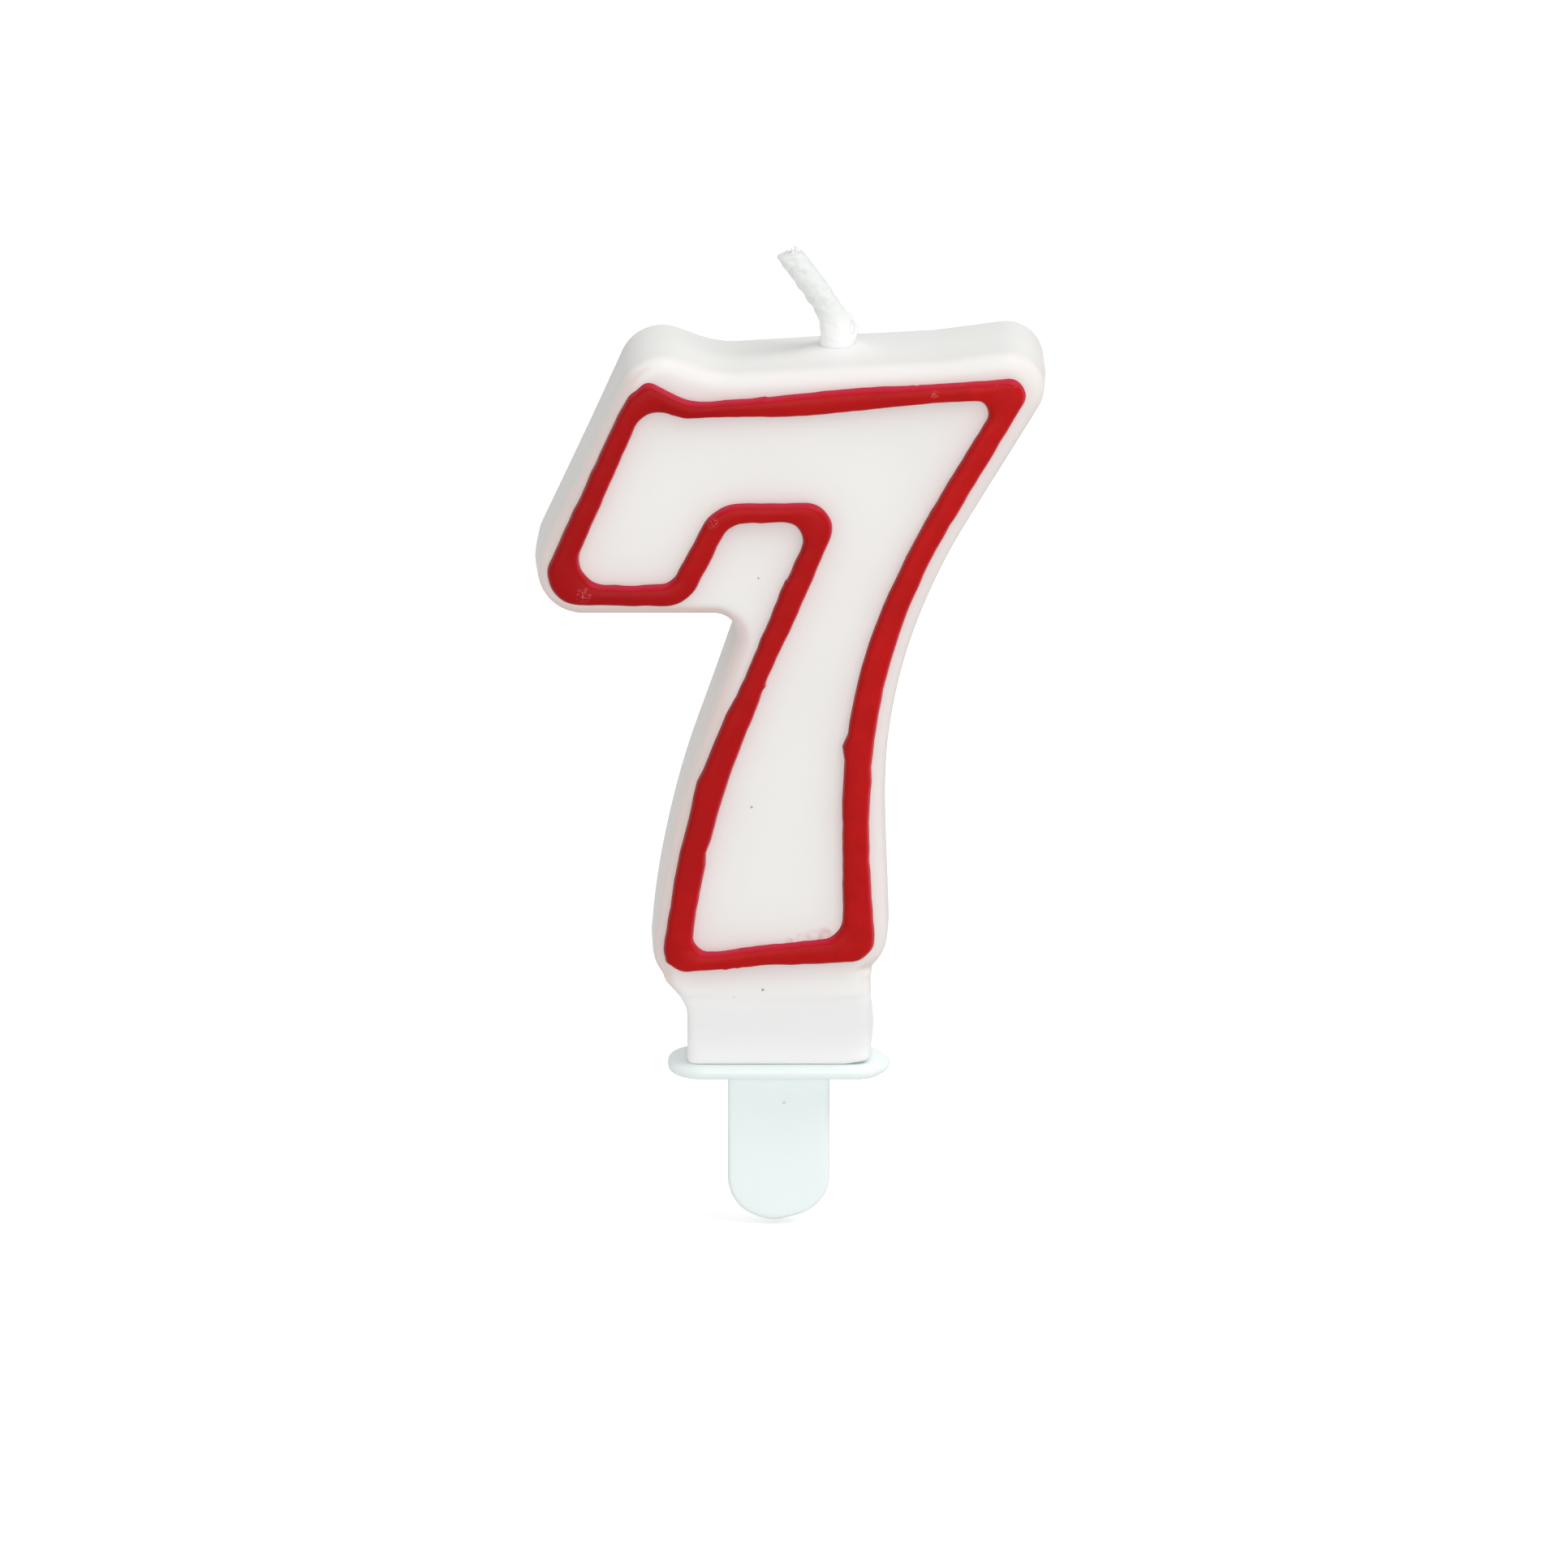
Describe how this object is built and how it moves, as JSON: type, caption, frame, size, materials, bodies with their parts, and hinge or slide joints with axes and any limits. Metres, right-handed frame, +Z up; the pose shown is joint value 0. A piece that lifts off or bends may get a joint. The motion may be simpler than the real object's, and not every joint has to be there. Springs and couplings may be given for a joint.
{
  "type": "number candle",
  "caption": "Wax numeral seven with a raised outline on both faces, a wick from its top, and a plastic holder with a flat spike that it lifts off.",
  "frame": {"origin": "where the spike meets the underside of the collar, on the holder's centre line", "axes": "+Z up through the neck and the numeral; the seven is read from the front, which faces -Y; +X to the reader's right"},
  "size_m": [0.0476, 0.0146, 0.0948],
  "materials": {
    "white_wax": "satin, slightly translucent paraffin wax",
    "red_wax": "satin coloured wax, laid on by hand",
    "waxed_cotton": "braided cotton soaked in wax",
    "pale_plastic": "moulded, very pale mint"
  },
  "bodies": {
    "holder": {"holder": "pale_plastic"},
    "candle": {"wax_body": "white_wax", "front_outline": "red_wax", "back_outline": "red_wax", "wick": "waxed_cotton"}
  },
  "joints": [
    {"name": "candle_lift", "type": "slide", "parent": "holder", "child": "candle", "axis": [0, 0, 1], "range_m": [0, 0.011]}
  ]
}
